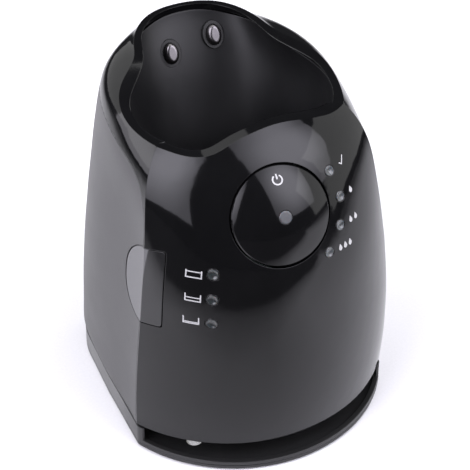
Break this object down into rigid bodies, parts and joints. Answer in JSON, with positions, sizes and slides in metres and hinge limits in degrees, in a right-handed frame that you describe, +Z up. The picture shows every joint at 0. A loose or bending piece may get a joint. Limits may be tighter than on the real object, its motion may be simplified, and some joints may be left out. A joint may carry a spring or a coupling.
{
  "type": "shaver cleaning station",
  "caption": "Counter-top shaver cleaning and charging station: domed glossy cover with round start button, open cradle, lifting housing on a low cartridge base.",
  "frame": {"origin": "bottom centre of the base, where the feet stand on the counter", "axes": "+X to the right seen from the front, the front faces -Y, +Z up"},
  "size_m": [0.1282, 0.14, 0.1659],
  "materials": {
    "gloss_black": "piano-black gloss",
    "satin_grey": "fine satin texture",
    "black_base": "satin black",
    "inner_black": "polished black",
    "pad_grey": "satin grey",
    "clear_lens": "smoky translucent",
    "chrome": "polished",
    "steel": "plain",
    "rubber": "matte",
    "board_green": "solder mask",
    "white_plastic": "plain moulded",
    "motor_can": "zinc plated",
    "brass": "plain"
  },
  "bodies": {
    "base": {"base_tray": "black_base", "base_feet": "rubber", "guide_posts": "white_plastic", "base_screws": "steel", "lift_springs": "steel"},
    "housing": {"front_cover": "gloss_black", "rear_housing": "satin_grey", "cradle": "inner_black", "chassis": "black_base", "chassis_screws": "steel", "guide_sleeves": "white_plastic", "program_lenses": "clear_lens", "level_lenses": "clear_lens", "display_board": "board_green", "display_leds": "white_plastic", "start_switch": "black_base", "level_board": "board_green", "level_leds": "white_plastic", "contact_carrier": "black_base", "pump_housing": "white_plastic", "pump_motor": "motor_can", "suction_pipe": "white_plastic", "return_pipe": "rubber", "drain_seal": "rubber", "drain_sieve": "steel", "fan_housing": "black_base", "power_socket": "black_base", "socket_pins": "brass", "main_board": "board_green", "board_components": "black_base", "level_electrodes": "steel", "contact_spring_left": "steel", "contact_spring_right": "steel"},
    "start_button": {"start_button": "gloss_black", "button_lens": "clear_lens"},
    "lift_button": {"lift_button": "pad_grey", "latch_arm": "black_base"},
    "contact_pin_left": {"contact_pin_left": "chrome"},
    "contact_pin_right": {"contact_pin_right": "chrome"},
    "pump_rotor": {"pump_rotor": "white_plastic"},
    "fan_rotor": {"fan_rotor": "black_base"}
  },
  "joints": [
    {"name": "housing_lift", "type": "slide", "parent": "base", "child": "housing", "axis": [0, 0, 1], "range_m": [0, 0.025], "deforming": ["lift_springs"]},
    {"name": "start_press", "type": "slide", "parent": "housing", "child": "start_button", "axis": [0, 0.8805, -0.4741], "range_m": [0, 0.0012], "stiffness_N_per_m": 1500, "springref_m": -0.0006},
    {"name": "lift_press", "type": "slide", "parent": "housing", "child": "lift_button", "axis": [0.6, 0.8, 0], "range_m": [0, 0.002], "stiffness_N_per_m": 1500, "springref_m": -0.001},
    {"name": "contact_left_press", "type": "slide", "parent": "housing", "child": "contact_pin_left", "axis": [0, 0.8682, -0.4961], "range_m": [0, 0.0014], "stiffness_N_per_m": 400, "springref_m": -0.0008, "deforming": ["contact_spring_left"]},
    {"name": "contact_right_press", "type": "slide", "parent": "housing", "child": "contact_pin_right", "axis": [0, 0.8682, -0.4961], "range_m": [0, 0.0014], "stiffness_N_per_m": 400, "springref_m": -0.0008, "deforming": ["contact_spring_right"]},
    {"name": "pump_spin", "type": "hinge", "parent": "housing", "child": "pump_rotor", "pos_m": [-0.036, 0.044, 0.06], "axis": [0, 0, 1], "continuous": true},
    {"name": "fan_spin", "type": "hinge", "parent": "housing", "child": "fan_rotor", "pos_m": [0.036, 0.042, 0.06], "axis": [0, 0, 1], "continuous": true}
  ]
}
